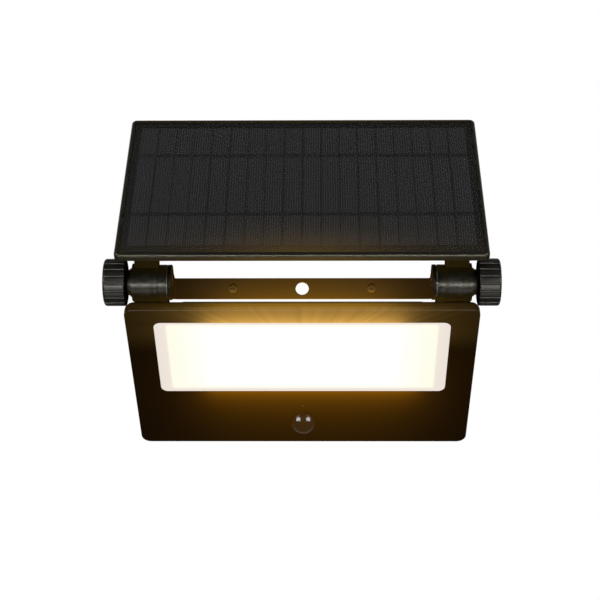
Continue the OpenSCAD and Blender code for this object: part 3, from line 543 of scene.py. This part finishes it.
lit, warming, ending = [
    addNode(tree, "ShaderNodeMapRange",
            {"interpolation_type": "SMOOTHSTEP", "From Min": low * mm, "From Max": high * mm},
            {"Value": distance.outputs[0]})
    for distance, low, high in ((nearest, -windowLook["soft"], windowLook["soft"]),
                                (inward[0], 0, windowLook["warmth"]),
                                (inward[1], -windowLook["end"], windowLook["endWarmth"]))]
edgeGlow = addNode(tree, "ShaderNodeMapRange", {"From Min": -windowLook["side"] * mm, "From Max": 0},
                   {"Value": nearest.outputs[0]})
core = addNode(tree, "ShaderNodeMath", {"operation": "MULTIPLY"}, {0: warming.outputs[0], 1: ending.outputs[0]})
field, border = [
    addNode(tree, "ShaderNodeMix",
            {"data_type": "RGBA", 6: linear(windowLook[outer]), 7: linear(windowLook[inner])},
            {"Factor": factor.outputs[0]})
    for outer, inner, factor in (("warm", "core", core), ("border", "rim", edgeGlow))]
glow = addNode(tree, "ShaderNodeMix", {"data_type": "RGBA"},
               {"Factor": lit.outputs[0], 6: border.outputs[2], 7: field.outputs[2]})
tree.links.new(glow.outputs[2], shader.inputs["Emission Color"])
shader.inputs["Emission Strength"].default_value = 1

# smoked polyethylene dome with moulded facets: dark and glossy, with the lamps small in it and the window's glow
# painted on it

domeLook = {
    "colour": "#120e08", "roughness": 0.07, "specular": 0.09,
    "facetMm": 2.2, "depthMm": 0.1, "strength": 0.12,
    "lit": {"level": 1.6, "near": 8},
}
smokedDome, tree, shader, spot = newMaterial("smokedDome", domeLook)
facets = addNode(tree, "ShaderNodeTexVoronoi", {"Scale": 1 / (domeLook["facetMm"] * mm)},
                 {"Vector": place(tree, headTurn)})
bump = addNode(tree, "ShaderNodeBump", {"Strength": domeLook["strength"], "Distance": domeLook["depthMm"] * mm},
               {"Height": facets.outputs["Distance"]})
tree.links.new(bump.outputs[0], shader.inputs["Normal"])
paintGlow(tree, shader, (spillTint["below"], paintedSpill(tree, spot, edgeBelow, **domeLook["lit"])))

# what sits inside

insideLooks = {
    # white moulded ABS behind the window: matt and even
    "whiteAbs": {"colour": "#efe9df", "roughness": 0.5,
                 "grain": {"sizeMm": 0.8, "depthMm": 0.01, "strength": 0.4}},
    # white and green solder mask on fibreglass: a thin satin lacquer
    "whiteMask": {"colour": "#e4e3dd", "roughness": 0.32,
                  "grain": {"sizeMm": 1.2, "depthMm": 0.01, "strength": 0.4}},
    "greenMask": {"colour": "#1c5a37", "roughness": 0.3,
                  "grain": {"sizeMm": 1.0, "depthMm": 0.02, "strength": 0.5}},
    # phosphor on the chips: yellow, and lit from within
    "phosphor": {"colour": "#f3dc7c", "roughness": 0.45, "glow": "#ffe2a0", "glowStrength": 1.0,
                 "grain": {"sizeMm": 0.4, "depthMm": 0.02, "strength": 0.5}},
    # black mouldings of the cradle, the switch and the components
    "moulding": {"colour": "#26272a", "roughness": 0.5,
                 "grain": {"sizeMm": 0.5, "depthMm": 0.02, "strength": 0.5}},
    # blue shrink sleeve round the cell: glossy, with slight waves
    "shrinkSleeve": {"colour": "#2f6bb4", "roughness": 0.25,
                     "grain": {"sizeMm": 6, "depthMm": 0.05, "strength": 0.5}},
    # tin plate on the sensor's can: bright, with cloudy gloss
    "platedCan": {"colour": "#c4c2ba", "roughness": 0.3, "metallic": 1.0,
                  "gloss": {"sizeMm": 2, "low": 0.2, "high": 0.36}},
    # tinted acrylic light pipe, unlit
    "lightPipe": {"colour": "#7d5c26", "roughness": 0.2, "specular": 0.2,
                  "grain": {"sizeMm": 0.5, "depthMm": 0.01, "strength": 0.3}},
}
insideFinish = {name: newMaterial(name, finish)[0] for name, finish in insideLooks.items()}

assign(trayAbs, "panel_tray")
assign(mouldedAbs, "panel_arm_left", "panel_arm_right", "head_arm_left", "head_arm_right", "terminal_cover")
assign(housingAbs, "head_housing", "pir_retainer")
assign(polishedAbs, "front_bezel")
assign(powderCoat, "wall_strap")
assign(blackZinc, "hinge_studs", "strap_screws", "knob_washer_left", "knob_washer_right")
assign(zincSteel, "panel_arm_screws", "head_arm_screws", "housing_screws")
assign(fibre, "friction_washers")
assign(siliconCell, "solar_cells")
assign(ribbon, "cell_busbars")
assign(laminateBoard, "panel_board")
assign(clearLaminate, "panel_cover")
assign(rubber, "panel_grommet", "head_grommet", "housing_seal", "window_gasket", "power_button")
assign(opalWindow, "window_lens")
assign(smokedDome, "pir_dome")
assign(knobAbs, "knob_left", "knob_right")
assign(turnedBrass, "knob_insert_left", "knob_insert_right")
assign(insideFinish["whiteAbs"], "reflector_tray")
assign(insideFinish["whiteMask"], "led_board")
assign(insideFinish["phosphor"], "led_chips")
assign(insideFinish["greenMask"], "control_board")
assign(insideFinish["moulding"], "control_parts", "battery_cradle", "power_switch")
assign(insideFinish["shrinkSleeve"], "battery_cell")
assign(insideFinish["platedCan"], "pir_sensor")
assign(insideFinish["lightPipe"], "indicator_pipe")
print("materials done")


# rounding of the CAD nodes that show most: angles in degrees, and faces with more corners may be cut up

softening = {"weldMm": 0.002, "flat": 0.5, "corners": 4, "segments": 3, "angle": 38}


def softened(name, nodeName, body, material, edge, split=False):
    # a copy of a CAD node with its edges rounded, in mm, and its curves shaded smooth
    shape = bmesh.new()
    shape.from_mesh(nodes[nodeName].data)
    bmesh.ops.remove_doubles(shape, verts=shape.verts, dist=softening["weldMm"] * mm)
    bmesh.ops.dissolve_limit(shape, angle_limit=math.radians(softening["flat"]),
                             verts=shape.verts, edges=shape.edges)
    if split:
        many = [face for face in shape.faces if len(face.verts) > softening["corners"]]
        bmesh.ops.triangulate(shape, faces=many)
    for face in shape.faces:
        face.smooth = True
    mesh = bpy.data.meshes.new(name)
    shape.to_mesh(mesh)
    shape.free()
    mesh.materials.clear()
    mesh.materials.append(material)
    piece = bpy.data.objects.new(name, mesh)
    bpy.context.scene.collection.objects.link(piece)
    edges = piece.modifiers.new("edges", "BEVEL")
    edges.width = edge * mm
    edges.segments = softening["segments"]
    edges.limit_method = "ANGLE"
    edges.angle_limit = math.radians(softening["angle"])
    edges.miter_outer = "MITER_ARC"
    edges.use_clamp_overlap = True
    normals = piece.modifiers.new("normals", "WEIGHTED_NORMAL")
    normals.keep_sharp = True
    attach(piece, body)
    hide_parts(nodeName)


softened("bezelShell", "front_bezel", "head", polishedAbs, faceLook["edge"])
softened("headShell", "head_housing", "head", housingAbs, housingLook["edge"])
softened("trayShell", "panel_tray", "panel", trayAbs, trayLook["edge"], split=True)   # its ribbed back stays flat
softened("strapShell", "wall_strap", "bracket", powderCoat, strapLook["edge"])
print("pieces done")


# world: white for camera, glossy and transmission rays, and a plain grey fill on matt surfaces

worldLook = {"fill": 0.35, "white": 1.0}
world = bpy.data.worlds.new("studio")
bpy.context.scene.world = world
world.use_nodes = True
tree = world.node_tree
tree.nodes.clear()
path = addNode(tree, "ShaderNodeLightPath")
seen = path.outputs["Is Camera Ray"]
for kind in ("Is Glossy Ray", "Is Transmission Ray"):
    seen = addNode(tree, "ShaderNodeMath", {"operation": "MAXIMUM"}, {0: seen, 1: path.outputs[kind]}).outputs[0]
fill, white = [addNode(tree, "ShaderNodeBackground", {"Color": linear("#ffffff"), "Strength": worldLook[key]})
               for key in ("fill", "white")]
mixed = addNode(tree, "ShaderNodeMixShader", None, {"Fac": seen, 1: fill.outputs[0], 2: white.outputs[0]})
addNode(tree, "ShaderNodeOutputWorld", None, {"Surface": mixed.outputs[0]})

# pale painted floor well below, out of the camera's frame: its drop and half width in metres

floorLook = {
    "colour": "#e4e3e0", "roughness": 0.6, "specular": 0,
    "grain": {"sizeMm": 4, "depthMm": 0.05, "strength": 0.3},
    "drop": 0.30, "half": 3.0,
}
paleFloor = newMaterial("paleFloor", floorLook)[0]
shape = bmesh.new()
bmesh.ops.create_grid(shape, x_segments=1, y_segments=1, size=floorLook["half"])
bmesh.ops.translate(shape, verts=shape.verts, vec=(0, 0, -floorLook["drop"]))
mesh = bpy.data.meshes.new("floor")
shape.to_mesh(mesh)
shape.free()
mesh.materials.append(paleFloor)
floor = bpy.data.objects.new("floor", mesh)
bpy.context.scene.collection.objects.link(floor)

# lamps, seen from the hinge line: azimuth from the camera's side, elevation above level, lengths in metres

softbox = {"azimuth": 38, "elevation": -7, "distance": 1.3, "width": 0.7, "height": 1.0, "radiance": 3.4}
glint = {"azimuth": 47, "elevation": -5, "distance": 1.3, "width": 0.9, "height": 1.2, "radiance": 60}
overhead = {"azimuth": 0, "elevation": 70, "distance": 1.5, "width": 1.2, "height": 1.2, "radiance": 1.0}
frontStrip = {"azimuth": 0, "elevation": -30, "distance": 0.5, "width": 0.7, "height": 0.1, "radiance": 195}
lowStrip = {"azimuth": 0, "elevation": -66, "distance": 0.3, "width": 0.6, "height": 0.14, "radiance": 24}


def addLamp(name, lamp, glossy, side=1):
    # a panel light that shows only in gloss, or only on matt surfaces
    a, e = math.radians(side * lamp["azimuth"]), math.radians(lamp["elevation"])
    out = Vector((math.sin(a) * math.cos(e), -math.cos(a) * math.cos(e), math.sin(e)))
    data = bpy.data.lights.new(name, "AREA")
    data.shape = "RECTANGLE"
    data.size, data.size_y = lamp["width"], lamp["height"]
    data.energy = lamp["radiance"] * lamp["width"] * lamp["height"] * math.pi
    made = bpy.data.objects.new(name, data)
    made.location = hinge + out * lamp["distance"]
    made.rotation_euler = out.to_track_quat("Z", "Y").to_euler()
    made.visible_camera = False
    made.visible_glossy = glossy
    made.visible_diffuse = not glossy
    bpy.context.scene.collection.objects.link(made)
    return made


for side in (-1, 1):
    addLamp("softbox", softbox, False, side)
    addLamp("glint", glint, True, side)
addLamp("overhead", overhead, False)
strips = [addLamp("frontStrip", frontStrip, True), addLamp("lowStrip", lowStrip, True)]

# the dome is flagged off the strips, as a studio would do with a card

flagged = bpy.data.collections.new("flagged")
flagged.objects.link(nodes["pir_dome"])
for strip in strips:
    strip.light_linking.receiver_collection = flagged
flagged.collection_objects[0].light_linking.link_state = "EXCLUDE"
print("lights done")
